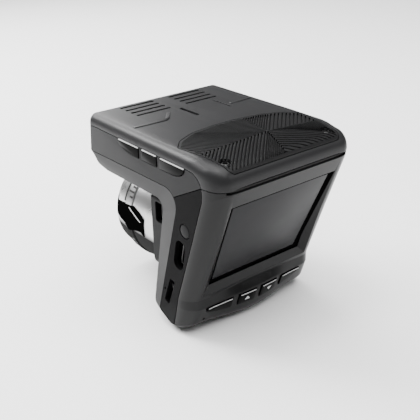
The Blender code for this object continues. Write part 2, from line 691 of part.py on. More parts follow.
def make_electronics():
    block("main_board", (-27, -48, -10.4), (27, 20, -8.8), BODY, "board_green")
    radar = add_mesh("radar_horn", horn("radar_horn", 1.0), BODY, "steel")
    cut(radar, add_mesh("horn_mouth", horn("horn_mouth", 0.0), CUTTERS))
    block("radar_module", (-20, -17, -19.4), (-2, -4.6, -11.2), BODY, "steel")
    block("laser_receiver", (12, 10, -19.8), (22, 22, -11.0), BODY, "black_plastic", 0.6)
    block("gps_antenna", (-24, -15, -8.4), (-6, 3, -4.2), BODY, "ceramic")
    block("processor_shield", (2, -16, -8.4), (24, 4, -6.2), BODY, "steel")
    speaker = [(0, 2.6), (7.5, 1.8), (11.4, 3.9), (13.0, 3.9), (13.0, 1.2), (9.0, 0), (0, 0)]
    turned("speaker", speaker, (0, -36, -8.3), (0, 0, 1), BODY, "black_plastic")
    cell = [(0, 18), (3.4, 18), (3.4, 0), (0, 0)]
    turned("supercapacitor", cell, (-9, -23.6, -66), (1, 0, 0), BODY, "black_plastic")
    rod("microphone", 2.0, (-24.6, -31.5, -69.0), (0, 1, 0), 2.4, BODY, "steel")


# ---------------------------------------------------------------- build
def clear_scene():
    for thing in list(bpy.data.objects):
        bpy.data.objects.remove(thing)


def main():
    clear_scene()
    bpy.context.scene.collection.children.link(BODY)
    bpy.context.scene.collection.children.link(CUTTERS)
    body_form("body_form", 0, CUTTERS)
    hollow = body_form("hollow_form", WALL, CUTTERS)
    proud = body_form("proud_form", -0.5, CUTTERS)
    clearance = body_form("clearance_form", -GAP, CUTTERS)
    make_top_cover(hollow)
    make_grille(hollow)
    make_frame(hollow)
    make_panels()
    make_ports()
    make_bezel(hollow, proud)
    make_display()
    make_lower_housing(hollow)
    make_lens_housing(clearance)
    make_lens()
    make_electronics()
    for name in ("top_cover", "middle_frame", "lower_housing", "rear_bezel", "lens_housing"):
        weld(bpy.data.objects[name])


main()
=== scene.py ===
"""Looks for the combined radar detector and dash camera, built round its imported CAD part."""
import json
import math

import bmesh
import bpy
from mathutils import Matrix, Vector

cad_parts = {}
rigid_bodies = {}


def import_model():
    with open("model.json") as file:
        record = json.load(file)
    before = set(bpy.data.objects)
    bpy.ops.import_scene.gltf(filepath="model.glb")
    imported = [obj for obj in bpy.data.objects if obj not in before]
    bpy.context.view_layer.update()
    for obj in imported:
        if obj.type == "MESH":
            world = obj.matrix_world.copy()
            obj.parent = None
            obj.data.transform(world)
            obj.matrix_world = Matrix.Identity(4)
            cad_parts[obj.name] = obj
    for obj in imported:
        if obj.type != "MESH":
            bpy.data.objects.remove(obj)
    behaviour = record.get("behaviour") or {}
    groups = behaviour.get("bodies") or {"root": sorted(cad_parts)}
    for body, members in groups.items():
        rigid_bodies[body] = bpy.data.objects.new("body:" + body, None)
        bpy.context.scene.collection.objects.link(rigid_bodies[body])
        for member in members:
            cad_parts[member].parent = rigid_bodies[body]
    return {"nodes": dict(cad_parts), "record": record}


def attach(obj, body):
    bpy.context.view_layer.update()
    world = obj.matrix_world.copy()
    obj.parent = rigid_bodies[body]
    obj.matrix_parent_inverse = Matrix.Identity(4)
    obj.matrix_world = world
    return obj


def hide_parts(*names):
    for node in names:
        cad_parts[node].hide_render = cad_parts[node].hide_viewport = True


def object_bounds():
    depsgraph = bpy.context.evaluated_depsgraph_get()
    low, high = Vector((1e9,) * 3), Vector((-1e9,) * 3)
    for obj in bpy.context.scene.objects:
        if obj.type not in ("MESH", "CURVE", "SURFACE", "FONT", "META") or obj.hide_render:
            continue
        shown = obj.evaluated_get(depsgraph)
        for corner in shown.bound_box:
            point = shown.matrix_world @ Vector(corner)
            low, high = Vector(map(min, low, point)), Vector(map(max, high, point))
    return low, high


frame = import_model()
CAD_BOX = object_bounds()
MM = 0.001

# ---------------------------------------------------------------- driving sizes, in millimetres
HALF_WIDTH = 33.1
REAR_Y = -56.4
SLAB_BOTTOM = -22.5
UPPER_SEAM = -4.5
LOWER_SEAM = -15.5
WALL = 2.0
GAP = 0.3
PANEL_IN = 30.8
GROOVE_DEPTH = 0.75
LENS_Z = -46.7
LENS_R = 23.4
LENS_RIM_Y = 26.8
HOUSING_FRONT_Y = -11.4
HOUSING_HALF = 29.6
GLASS_TOP = (25.5, -53.9, -16.2)
GLASS_LOW = (22.8, -37.6, -53.7)
MOUTH_LOW = (27.0, -38.4, -57.9)
LIP_TILT = math.radians(12)


def low_seam(y):
    """Height of the lower split line on the side."""
    return -14.8 - 0.0116 * (y + 34.8)


# The body is one lofted form. Each row is a corner of its side outline:
# centre line (y, z, r), side edge (y, z, r), side face (y, z, r),
# how far the edge rounding reaches in x, and 1 for an arc or 0 for a chamfer.
BODY_ROWS = [
    ((25.9, 0, 2.2), (25.9, 0, 2.2), (23.7, UPPER_SEAM, 0), 3.4, 1),
    ((26.8, LOWER_SEAM, 1.2), (26.8, LOWER_SEAM, 1.2), (25.2, low_seam(25.2), 0), 3.0, 1),
    ((23.6, SLAB_BOTTOM, 1.0), (23.6, SLAB_BOTTOM, 1.0), (22.8, low_seam(22.8), 0), 3.0, 0.6),
    ((17.0, SLAB_BOTTOM, 0), (17.0, SLAB_BOTTOM, 0), (16.5, low_seam(16.5), 0), 2.0, 0),
    ((-22.3, SLAB_BOTTOM, 4.0), (-22.3, SLAB_BOTTOM, 4.0), (-34.8, low_seam(-34.8), 6.5), 2.0, 0),
    ((-12.1, -70.6, 3.0), (-12.1, -70.6, 3.0), (-18.2, -70.5, 1.5), 2.0, 0),
    ((-21.0, -76.2, 4.0), (-21.0, -75.5, 4.0), (-26.6, -73.2, 0), 3.0, 0.6),
    ((-36.5, -76.2, 7.0), (-34.2, -73.8, 6.0), (-28.0, -72.8, 0), 6.6, 1),
    ((-40.6, -62.4, 2.0), (-38.1, -63.6, 2.0), (-30.4, -63.4, 0), 7.0, 1),
    ((-38.2, -58.6, 1.0), (-37.8, -59.8, 1.0), (-31.3, -59.4, 0), 7.0, 1),
    ((-46.9, -35.0, 0), (-46.9, -35.0, 0), (-41.2, -32.0, 14.0), 7.5, 1),
    ((-56.1, -10.3, 1.0), (-56.1, -10.3, 1.0), (-47.4, -14.0, 0), 7.0, 1),
    ((REAR_Y, -1.7, 6.0), (REAR_Y, -1.9, 6.0), (-48.2, -4.6, 6.5), 6.0, 1),
    ((-42.0, 0, 40.0), (-42.0, 0, 40.0), (-36.0, UPPER_SEAM, 1.0), 3.8, 1),
    ((-22.0, 0, 0), (-22.0, 0, 0), (-22.0, UPPER_SEAM, 0), 3.2, 1),
]
ARC_STEPS = 8
QUARTER = ARC_STEPS // 4
EDGE_STEPS = 10
CROWN_STEPS = 10


# ---------------------------------------------------------------- outlines
def rounded(corners, steps):
    """A closed outline whose corners (u, v, radius) become arcs of steps + 1 points."""
    points = []
    count = len(corners)
    for index, (u, v, radius) in enumerate(corners):
        here = Vector((u, v))
        if radius == 0:
            points += [here] * (steps + 1)
            continue
        before = (Vector(corners[index - 1][:2]) - here).normalized()
        after = (Vector(corners[(index + 1) % count][:2]) - here).normalized()
        opening = before.angle(after)
        reach = radius / math.tan(opening / 2)
        if math.pi - opening < 1e-4:
            start, end = here + before * radius, here + after * radius
            points += [start.lerp(end, k / steps) for k in range(steps + 1)]
            continue
        centre = here + (before + after).normalized() * (radius / math.sin(opening / 2))
        start = here + before * reach - centre
        end = here + after * reach - centre
        sweep = start.angle_signed(end)
        for k in range(steps + 1):
            turned = Matrix.Rotation(-sweep * k / steps, 2) @ start
            points.append(centre + turned)
    return points


def shifted(corners, distance):
    """The same outline moved inwards by distance, for a list that runs clockwise."""
    moved = []
    count = len(corners)
    for index, (u, v, radius) in enumerate(corners):
        here = Vector((u, v))
        into = (here - Vector(corners[index - 1][:2])).normalized()
        out = (Vector(corners[(index + 1) % count][:2]) - here).normalized()
        normal_in = Vector((into.y, -into.x))
        normal_out = Vector((out.y, -out.x))
        step = (normal_in + normal_out) / (1 + normal_in.dot(normal_out))
        place = here + step * distance
        moved.append((place.x, place.y, radius))
    return moved


def grown(outline, distance):
    """Move a plain outline outwards, or inwards when distance is negative."""
    turn = 0.0
    for index, place in enumerate(outline):
        before = outline[index - 1]
        turn += before[0] * place[1] - before[1] * place[0]
    ordered = list(outline) if turn < 0 else list(reversed(outline))
    moved = shifted([(place[0], place[1], 0) for place in ordered], -distance)
    return [(y, z) for y, z, _ in moved]


# ---------------------------------------------------------------- object makers
SCENE = bpy.context.scene.collection
WORK = bpy.data.collections.new("work")
SCENE.children.link(WORK)


def add_mesh(name, mesh):
    """A working object; keep() turns it into a finished piece."""
    thing = bpy.data.objects.new(name, mesh)
    WORK.objects.link(thing)
    return thing


def bake(thing):
    """The evaluated shape of an object, with its transform, as a plain mesh."""
    bpy.context.view_layer.update()
    graph = bpy.context.evaluated_depsgraph_get()
    mesh = bpy.data.meshes.new_from_object(thing.evaluated_get(graph))
    mesh.transform(thing.matrix_world)
    mesh.name = thing.name
    return mesh


def tidy_mesh(mesh, distance=1e-6):
    """The mesh with its doubled points joined and all its faces pointing out."""
    form = bmesh.new()
    form.from_mesh(mesh)
    bmesh.ops.remove_doubles(form, verts=form.verts, dist=distance)
    bmesh.ops.recalc_face_normals(form, faces=form.faces)
    form.to_mesh(mesh)
    form.free()
    return mesh


TURNS = {
    "x": (math.pi / 2, 0, math.pi / 2),
    "y": (math.pi / 2, 0, 0),
    "z": (0, 0, 0),
}


def plate(name, outline, axis, low, high, holes=()):
    """A flat outline, (y, z), (x, z) or (x, y), extruded from low to high along its axis."""
    data = bpy.data.curves.new(name, "CURVE")
    data.dimensions = "2D"
    data.fill_mode = "BOTH"
    data.extrude = (high - low) / 2 * MM
    for ring in (outline, *holes):
        spline = data.splines.new("POLY")
        spline.points.add(len(ring) - 1)
        for point, place in zip(spline.points, ring):
            point.co = (place[0] * MM, place[1] * MM, 0, 1)
        spline.use_cyclic_u = True
    guide = bpy.data.objects.new(name + "_outline", data)
    guide.rotation_euler = TURNS[axis]
    middle = (high + low) / 2 * MM
    guide.location = (middle * (axis == "x"), middle * (axis == "y"), middle * (axis == "z"))
    WORK.objects.link(guide)
    mesh = tidy_mesh(bake(guide))
    bpy.data.objects.remove(guide)
    return add_mesh(name, mesh)


def turned(name, profile, base, direction, sides=96):
    """A profile of (radius, height) points, turned about an axis through base."""
    mesh = bpy.data.meshes.new(name)
    points = [(radius * MM, 0, height * MM) for radius, height in profile]
    count = len(points)
    closed = min(radius for radius, height in profile) > 0
    edges = [(k, (k + 1) % count) for k in range(count if closed else count - 1)]
    mesh.from_pydata(points, edges, [])
    thing = add_mesh(name, mesh)
    screw = thing.modifiers.new("turn", "SCREW")
    screw.axis = "Z"
    screw.steps = sides
    screw.render_steps = sides
    screw.use_merge_vertices = True
    screw.merge_threshold = 1e-5
    thing.location = Vector(base) * MM
    thing.rotation_euler = Vector(direction).to_track_quat("Z", "Y").to_euler()
    thing.data = tidy_mesh(bake(thing))
    thing.modifiers.clear()
    thing.location = (0, 0, 0)
    thing.rotation_euler = (0, 0, 0)
    return thing


def rod(name, radius, base, direction, length, sides=48):
    """A plain round bar that starts at base."""
    profile = [(0, length), (radius, length), (radius, 0), (0, 0)]
    return turned(name, profile, base, direction, sides)


def cut(thing, cutter, operation="DIFFERENCE", solver="EXACT"):
    """Take the cutter away from a thing, or keep only what lies inside it."""
    boolean = thing.modifiers.new("cut_" + cutter.name, "BOOLEAN")
    boolean.operation = operation
    boolean.solver = solver
    boolean.object = cutter


def soften(thing, width, segments=2, angle=30):
    """Round the edges that turn by more than angle, in degrees."""
    bevel = thing.modifiers.new("edges", "BEVEL")
    bevel.width = width * MM
    bevel.segments = segments
    bevel.limit_method = "ANGLE"
    bevel.angle_limit = math.radians(angle)


NODE_SLOTS = {}
for entry in frame["record"]["subparts"]:
    NODE_SLOTS[entry["node"]] = entry["material_slot"]
NODE_BODY = {}
for body_name, members in frame["record"]["behaviour"]["bodies"].items():
    for member in members:
        NODE_BODY[member] = body_name


def keep(thing, node, replaces=(), slot=None, material=None, smooth=30):
    """Finish a piece: plain mesh, its look, the body it rides with and the node it stands for."""
    name = "look_" + thing.name.split(".")[0]
    mesh = bake(thing)
    mesh.name = name
    final = bpy.data.objects.new(name, mesh)
    SCENE.objects.link(final)
    slot = slot or NODE_SLOTS[node]
    mesh.materials.clear()
    mesh.materials.append(material or LOOKS[slot])
    mesh.shade_smooth()
    mesh.set_sharp_from_angle(angle=math.radians(smooth))
    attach(final, NODE_BODY[node])
    if replaces:
        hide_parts(*replaces)
    bpy.data.objects.remove(thing)
    return final


# ---------------------------------------------------------------- body form
def body_form(name, inset):
    """The closed form of the whole body, or of its hollow when inset is the wall."""
    centre_row = [row[0] for row in BODY_ROWS]
    edge_row = [row[1] for row in BODY_ROWS]
    side_row = [row[2] for row in BODY_ROWS]
    if inset:
        centre_row = shifted(centre_row, inset)
        edge_row = shifted(edge_row, inset)
        side_row = shifted(side_row, min(inset, 0.3))
    centre = rounded(centre_row, ARC_STEPS)
    edge = rounded(edge_row, ARC_STEPS)
    side = rounded(side_row, ARC_STEPS)
    half = (HALF_WIDTH - inset) * MM
    shrink = 0.7 if inset > 1 else 1.0
    form = bmesh.new()
    ribs = []
    for index, (mid, rim, flat) in enumerate(zip(centre, edge, side)):
        row = BODY_ROWS[index // (ARC_STEPS + 1)]
        reach = row[3] * shrink * MM
        rib = half_rib(mid * MM, rim * MM, flat * MM, half, reach, row[4])
        left = [form.verts.new((-x, y, z)) for x, y, z in reversed(rib)]
        right = [form.verts.new(place) for place in rib[1:]]
        ribs.append(left + right)
    count = len(ribs)
    for index in range(count):
        one = ribs[index]
        two = ribs[(index + 1) % count]
        for k in range(len(one) - 1):
            form.faces.new((one[k], one[k + 1], two[k + 1], two[k]))
    form.faces.new([rib[0] for rib in ribs])
    form.faces.new([rib[-1] for rib in reversed(ribs)])
    bmesh.ops.remove_doubles(form, verts=form.verts, dist=1e-6)
    bmesh.ops.recalc_face_normals(form, faces=form.faces)
    mesh = bpy.data.meshes.new(name)
    form.to_mesh(mesh)
    form.free()
    return add_mesh(name, mesh)


def half_rib(mid, rim, flat, half, reach, arc):
    """Points from the centre plane out over the crown and round the edge to the side."""
    points = []
    edge_x = half - reach
    for k in range(CROWN_STEPS):
        part = k / CROWN_STEPS
        swell = (1 - part * part) ** 2
        place = rim.lerp(mid, swell)
        points.append((edge_x * part, place.x, place.y))
    for k in range(EDGE_STEPS + 1):
        part = k / EDGE_STEPS
        angle = part * math.pi / 2
        out = edge_x + reach * (arc * math.sin(angle) + (1 - arc) * part)
        place = flat.lerp(rim, arc * math.cos(angle) + (1 - arc) * (1 - part))
        points.append((out, place.x, place.y))
    return points


# ---------------------------------------------------------------- split lines
def side_point(row, step):
    """A point (y, z) of the side face's outline, in the arc of one body row."""
    return SIDE_LOOP[row * (ARC_STEPS + 1) + step]


SIDE_LOOP = rounded([row[2] for row in BODY_ROWS], ARC_STEPS)
REAR_END = side_point(12, QUARTER)
SPLIT_END = side_point(4, 2 * QUARTER)
TOP_SEAM = [side_point(12, step) for step in range(ARC_STEPS, QUARTER - 1, -1)]
LOW_SEAM = [(60, low_seam(60))]
LOW_SEAM += [side_point(4, step) for step in range(2 * QUARTER + 1)]
FRONT_EDGE = [side_point(4, step) for step in range(2 * QUARTER + 1, ARC_STEPS + 1)]
FRONT_EDGE += [side_point(5, 0), side_point(5, 2 * QUARTER)]
REAR_SEAM = [side_point(12, 0), side_point(11, 2 * QUARTER)]
REAR_SEAM += [side_point(10, step) for step in range(ARC_STEPS, -1, -1)]
REAR_SEAM += [side_point(row, 2 * QUARTER) for row in (9, 8, 7)]
FAR = 95
BOTTOM_SEAM = (REAR_SEAM[-1][0] + 1.5, -FAR)

TOP_REGION = [(60, 40), (60, UPPER_SEAM), *TOP_SEAM, (-FAR, REAR_END[1]), (-FAR, 40)]
FRAME_REGION = [(60, UPPER_SEAM), *TOP_SEAM, *reversed(LOW_SEAM)]
PANEL_REGION = [REAR_END, SPLIT_END, *FRONT_EDGE, (-20, -FAR), BOTTOM_SEAM]
PANEL_REGION += reversed(REAR_SEAM)
BEZEL_REGION = [(-FAR, REAR_END[1]), REAR_END, *REAR_SEAM, BOTTOM_SEAM, (-FAR, -FAR)]
LOWER_REGION = [*LOW_SEAM, REAR_END, *REAR_SEAM, BOTTOM_SEAM, (60, -FAR)]

BODY_FORM = body_form("body_form", 0)
HOLLOW = body_form("hollow_form", WALL)


def region_plate(name, region, spare=GAP / 2, low=-60, high=60):
    """A region of the side view, spare smaller all round, as a block from low to high in x."""
    return plate(name + "_region", grown(region, -spare), "x", low, high)


def shell(name, region):
    """One shell: the body form kept inside a region of the side view, then hollowed."""
    thing = add_mesh(name, BODY_FORM.data.copy())
    cut(thing, region_plate(name, region), "INTERSECT")
    cut(thing, HOLLOW)
    return thing


# ---------------------------------------------------------------- top cover
def slot_ring(x, y, length, width, lengthways, steps=6):
    """A slot with round ends, along x or along y."""
    half_x, half_y = (length / 2, width / 2) if lengthways == "x" else (width / 2, length / 2)
    corners = [(x - half_x, y + half_y), (x + half_x, y + half_y)]
    corners += [(x + half_x, y - half_y), (x - half_x, y - half_y)]
    return rounded([(u, v, width * 0.49) for u, v in corners], steps)


def grille_outline():
    """The speaker grille seen from above: a bowed front edge and sides that close to the rear."""
    half = [(6, -19.9, 30), (17, -21.6, 14), (25.0, -25.4, 6), (29.7, -30.6, 1.6)]
    half += [(26.4, -54.8, 2.2)]
    mirrored = [(-x, y, radius) for x, y, radius in reversed(half)]
    return rounded([*half, *mirrored], 8)


VENT_X = 12
VENT_FIRST_Y = 21.6
VENT_PITCH = 4.05
VENT_ROWS = 4
VENT_SIZE = (16.4, 1.4)
BRACKET_SLOTS = [(-1.45, 0, 12.1, 1.7), (15.2, -0.3, 11.7, 0.7)]
RIDGE_WIDTH = 1.5
RIDGE_HEIGHT = 0.28
LEFT_RIDGE = [(-29.3, -2.1), (-22.5, -2.6), (-16.5, -2.75), (-14.6, -2.5), (-13.2, -1.4), (-8.8, 4.0)]
RIGHT_RIDGE = [(29.3, -2.1), (22.5, -2.6), (17.6, -2.5)]


def make_top_cover():
    """The top shell with its vents, bracket slots, grille opening and two low ridges."""
    cover = shell("top_cover", TOP_REGION)
    vents = []
    for x in (-VENT_X, VENT_X):
        for row in range(VENT_ROWS):
            vents.append(slot_ring(x, VENT_FIRST_Y - VENT_PITCH * row, *VENT_SIZE, "x"))
    vents += [slot_ring(*slot, "y") for slot in BRACKET_SLOTS]
    cut(cover, plate("cover_slots", vents[0], "z", -4, 4, holes=vents[1:]))
    cut(cover, plate("grille_opening", grown(grille_outline(), GAP), "z", -9, 4))
    cut(cover, rear_gap())
    keep(cover, "top_cover", ["top_cover"])
    for index, bend in enumerate((LEFT_RIDGE, RIGHT_RIDGE)):
        path = strip([Vector(place) for place in bend], RIDGE_WIDTH)
        ridge = plate(f"top_ridge_{index}", path, "z", -0.3, RIDGE_HEIGHT)
        soften(ridge, 0.27, 4, 50)
        keep(ridge, "top_cover")


def rear_gap():
    """The dark recess under the top cover's rear edge, closing to a line at the corners."""
    upper = [(-29, -9.0), (-24, -8.5), (-12, -8.2), (12, -8.2), (24, -8.4), (29.5, -8.9)]
    lower = [(29.5, -9.9), (24, -10.1), (-24, -10.1), (-29, -9.9)]
    gap = plate("rear_gap", [*upper, *lower], "y", -62, -40)
    cut(gap, body_form("gap_floor", GROOVE_DEPTH), solver="MANIFOLD")
    return gap


# ---------------------------------------------------------------- grille
RIB_CENTRE = (5.5, -37.8)
RIB_TURN = math.radians(45)
RIB_HEADING = 152
RIB_SWEEP = 30
RIB_SPREAD = 32
GROOVE_WIDTH = 0.55
GRILLE_RIM = 0.75
SCREW_SPOTS = [(-24.2, -49.3), (24.2, -49.3)]
# Where the ribs turn: a border's direction from the centre, the pitch of the ribs along it, the way
# their straight part runs from it, and the way their curved part runs.
RIB_BORDERS = [
    ((-1, -0.08), 1.83, -1, 1),
    ((-0.37, -0.93), 1.6, -1, -1),
    ((0.14, 0.99), 1.5, 1, 1),
    ((0.99, -0.155), 1.83, 1, -1),
]
RIBS_PER_BORDER = 18


def bent_line(start, swing, length=46.0, step=1.6):
    """A line from a sector's border that curves as it goes outwards; swing is 1 or -1."""
    points = [Vector(start)]
    while step * len(points) < length:
        here = points[-1]
        far = min(abs(here.x - RIB_CENTRE[0]) / RIB_SPREAD, 1)
        heading = math.radians(RIB_HEADING - RIB_SWEEP * far)
        points.append(here + Vector((math.cos(heading), math.sin(heading))) * step * swing)
    return points


def strip(points, width):
    """A closed outline that follows a line, width across, with mitred turns."""
    left = []
    right = []
    for index, here in enumerate(points):
        before = (here - points[max(index - 1, 0)]).normalized()
        after = (points[min(index + 1, len(points) - 1)] - here).normalized()
        normals = [Vector((-side.y, side.x)) for side in (before, after) if side.length > 0]
        middle = sum(normals, Vector((0, 0))) / len(normals)
        push = middle * (width / 2 / max(middle.length_squared, 0.3))
        left.append(here + push)
        right.append(here - push)
    return [*left, *reversed(right)]


def groove_rings():
    """The grooves between the ribs: straight lines that turn into curves at four borders."""
    rings = []
    straight = Vector((math.cos(RIB_TURN), math.sin(RIB_TURN)))
    centre = Vector(RIB_CENTRE)
    for course, pitch, way, swing in RIB_BORDERS:
        for index in range(RIBS_PER_BORDER):
            vertex = centre + Vector(course) * (pitch * (index + 0.5))
            line = [vertex + straight * 50 * way, *bent_line(vertex, swing)]
            rings.append(strip(line, GROOVE_WIDTH))
    return rings


def make_grille():
    """The speaker grille: a shell with ribs left between grooves cut to one depth."""
    sunk = body_form("sunk_form", GROOVE_DEPTH)
    field = plate("groove_field", grown(grille_outline(), -GRILLE_RIM), "z", -9, 4)
    grooves = bmesh.new()
    for ring in groove_rings():
        piece = plate("groove", ring, "z", -8, 3)
        grooves.from_mesh(piece.data)
        bpy.data.objects.remove(piece)
    mesh = bpy.data.meshes.new("grooves")
    grooves.to_mesh(mesh)
    grooves.free()
    cutter = add_mesh("grooves", mesh)
    cut(cutter, field, "INTERSECT")
    cutter.modifiers[-1].use_self = True
    cut(cutter, sunk)
    grille = add_mesh("speaker_grille", BODY_FORM.data.copy())
    cut(grille, plate("grille_edge", grille_outline(), "z", -9, 4), "INTERSECT")
    cut(grille, HOLLOW)
    for index, (x, y) in enumerate(SCREW_SPOTS):
        cut(grille, rod(f"grille_screw_hole_{index}", 2.2, (x, y, -8), (0, 0, 1), 12))
    cut(grille, cutter)
    keep(grille, "speaker_grille", ["speaker_grille"])


def crossed(screw, place, depth, size, direction=1):
    """A cross recess in a screw's head."""
    x, y, z = place
    for wide, deep in ((size, 0.45), (0.45, size)):
        ring = [(x - wide, y - deep), (x + wide, y - deep), (x + wide, y + deep), (x - wide, y + deep)]
        low, high = sorted((z - depth * direction, z + depth * direction))
        cut(screw, plate("cross", ring, "z", low, high))


def make_grille_screws():
    """Two cross-head screws sunk in the grille's rear corners."""
    for side, (x, y) in zip(("left", "right"), SCREW_SPOTS):
        name = "grille_screw_" + side
        head = [(0, 4.9), (1.2, 4.8), (1.75, 4.3), (1.75, 3.4), (0.8, 2.9), (0.8, 0), (0, 0)]
        screw = turned(name, head, (x, y, -6.3), (0, 0, 1), 48)
        crossed(screw, (x, y, -1.4), 0.9, 1.1)
        keep(screw, name, [name])


# ---------------------------------------------------------------- middle frame and side buttons
SIDE_BUTTON_TOP = -4.9
SIDE_BUTTON_HEIGHT = 3.8
SIDE_BUTTON_FACE = -33.4
SIDE_BUTTON_BACK = -30.9
SIDE_BUTTON_SLANT = [(-34.6, -6.1), (-34.6, -3.5), (-32.2, -3.5), (-33.05, -4.85), (-33.42, -5.2)]
LASER_WINDOW = [(9.7, -13.3, 1), (24.3, -13.3, 1), (24.3, -5.9, 1), (9.7, -5.9, 1)]


def quarter(centre, reach, height, steps=12):
    """A quarter ellipse from the top edge down to the bottom edge of the button group."""
    angles = [math.pi / 2 * k / steps for k in range(steps + 1)]
    return [(centre + reach * math.cos(a), SIDE_BUTTON_TOP - height * math.sin(a)) for a in angles]


def side_button_outlines():
    """Front, middle and rear side button, (y, z): together they make a boat shape."""
    low = SIDE_BUTTON_TOP - SIDE_BUTTON_HEIGHT
    front = [*quarter(-6, 9.4, SIDE_BUTTON_HEIGHT), (-10.4, low), (-10.4, SIDE_BUTTON_TOP)]
    middle = [(-12.4, SIDE_BUTTON_TOP), (-12.4, low), (-21.9, low), (-21.9, SIDE_BUTTON_TOP)]
    rear = [*quarter(-30.6, -7.6, SIDE_BUTTON_HEIGHT), (-23.9, low), (-23.9, SIDE_BUTTON_TOP)]
    return {"mute_button": front, "marker_button": middle, "dim_button": rear}


def painted_highlight_line(button):
    """The painted highlight along a side button's top edge: a thin light strip, (y, z)."""
    front = max(y for y, z in button) - 0.3
    rear = min(y for y, z in button) + 0.3
    low = SIDE_BUTTON_TOP - 0.08
    high = SIDE_BUTTON_TOP + 0.2
    return [(rear, low), (rear, high), (front, high), (front, low)]


def make_frame():
    """The middle frame with its three side buttons and the laser window in the nose."""
    body = shell("middle_frame", FRAME_REGION)
    window = rounded(LASER_WINDOW, 6)
    cut(body, plate("laser_opening", window, "y", 20, 30))
    for name, outline in side_button_outlines().items():
        cut(body, plate(name + "_hole", grown(outline, GAP), "x", -40, -30))
        button = plate(name, outline, "x", SIDE_BUTTON_FACE, SIDE_BUTTON_BACK)
        cut(button, plate(name + "_slant", SIDE_BUTTON_SLANT, "y", -45, 10))
        soften(button, 0.12, 2, 30)
        keep(button, name, [name])
        # Painted highlight: a light grey strip along the button's top edge, where a glossy edge would
        # catch the light.
        line = plate(name + "_line", painted_highlight_line(outline), "x", SIDE_BUTTON_FACE + 0.1, -32.9)
        keep(line, name, slot="bright_silver", material=LOOKS["edge_grey"])
    # The frame gets a darker, less shiny copy of the satin: painted shade for its sides.
    keep(body, "middle_frame", ["middle_frame"], material=LOOKS["satin_painted_side_shade"])
    pane = plate("laser_window", grown(window, -GAP), "y", 24.6, 26.0)
    soften(pane, 0.2)
    keep(pane, "laser_window", ["laser_window"])


# ---------------------------------------------------------------- arm panels and their ports
HDMI_PLACE = (-33.35, -39.95)
HDMI_SIZE = (12.4, 5.7)
HDMI_LEAN = math.atan2(2.7, 12.1)
CARD_PLACE = (-25.95, -58.55)
CARD_SIZE = (12.3, 3.0)
CARD_LEAN = math.atan2(4.5, 11.5)
POWER_PLACE = (-37.1, -28.8)
POWER_RADIUS = 2.6
RESET_PLACE = (-23.0, -58.5)


def leaning(place, size, lean, radius, spare=0.0):
    """A rounded rectangle, longest downwards, turned by lean in the side view."""
    long_half = size[0] / 2 + spare
    wide_half = size[1] / 2 + spare
    corners = [(-wide_half, long_half), (wide_half, long_half)]
    corners += [(wide_half, -long_half), (-wide_half, -long_half)]
    shape = rounded([(u, v, radius) for u, v in corners], 8)
    turn = Matrix.Rotation(lean, 2)
    return [turn @ point + Vector(place) for point in shape]


def make_panels():
    """The arm's two side panels; the left one has the ports and the power button."""
    for side, sign in (("left", -1), ("right", 1)):
        name = "arm_panel_" + side
        panel = add_mesh(name, BODY_FORM.data.copy())
        low, high = sorted((sign * (PANEL_IN + GAP / 2), sign * 60))
        cut(panel, region_plate(name, PANEL_REGION, GAP / 2, low, high), "INTERSECT")
        if side == "left":
            y, z = POWER_PLACE
            cut(panel, rod("power_hole", POWER_RADIUS + GAP, (-40, y, z), (1, 0, 0), 12))
            cut(panel, rod("reset_hole", 0.5, (-40, *RESET_PLACE), (1, 0, 0), 12, 24))
            hdmi = leaning(HDMI_PLACE, HDMI_SIZE, HDMI_LEAN, 2.6)
            card = leaning(CARD_PLACE, CARD_SIZE, CARD_LEAN, 0.8)
            cut(panel, plate("port_openings", hdmi, "x", -40, -28, holes=[card]))
        # The panels get a darker, less shiny copy of the dark shell: painted shade.
        keep(panel, name, [name], material=LOOKS["panel_shell"])
    y, z = POWER_PLACE
    power = rod("power_button", POWER_RADIUS, (-33.1, y, z), (1, 0, 0), 2.6, 64)
    soften(power, 0.3, 3)
    keep(power, "power_button", ["power_button"])


# ---------------------------------------------------------------- rear bezel, display and menu buttons
SCREEN_LEAN = math.atan2(GLASS_TOP[1] - GLASS_LOW[1], GLASS_TOP[2] - GLASS_LOW[2])
SCREEN_MIDDLE = Vector((0, (GLASS_TOP[1] + GLASS_LOW[1]) / 2, (GLASS_TOP[2] + GLASS_LOW[2]) / 2))
SCREEN_HALF = math.hypot(GLASS_TOP[1] - GLASS_LOW[1], GLASS_TOP[2] - GLASS_LOW[2]) / 2
LIP_MIDDLE = Vector((0, -39.9, -65.5))
BUTTON_PROUD = 0.5
LINE_PROUD = 0.7
HIGHLIGHT_WIDTH = 0.26


def screen_outline(shrink):
    """The display's outline in its own plane, wider at the top, shrink smaller on each side."""
    high = SCREEN_HALF - shrink
    top = GLASS_TOP[0] - shrink
    low = GLASS_LOW[0] - shrink
    return [(-top, high), (top, high), (low, -high), (-low, -high)]


def screen_plate(name, outline, low, high, holes=()):
    """A plate parallel to the display, from low to high along its outward normal."""
    thing = plate(name, outline, "z", low, high, holes)
    thing.rotation_euler = (math.pi / 2 - SCREEN_LEAN, 0, 0)
    thing.location = SCREEN_MIDDLE * MM
    return thing


def recess_cutter():
    """The display's flared recess: flush at the top edge and deep at the bottom."""
    low = Vector(GLASS_LOW).lerp(Vector(MOUTH_LOW), 1.5)
    form = bmesh.new()
    for sign in (-1, 1):
        for x, y, z in (GLASS_TOP, GLASS_LOW, (GLASS_TOP[0] + 1, -60.5, -13.6), low):
            form.verts.new(Vector((sign * x, y, z)) * MM)
    bmesh.ops.convex_hull(form, input=form.verts)
    mesh = bpy.data.meshes.new("display_recess")
    form.to_mesh(mesh)
    form.free()
    return add_mesh("display_recess", mesh)


def lip_top(x):
    """The curved top edge of the menu buttons, up along the lip."""
    return 2.5 - 1.7 * (x / 24.6) ** 2


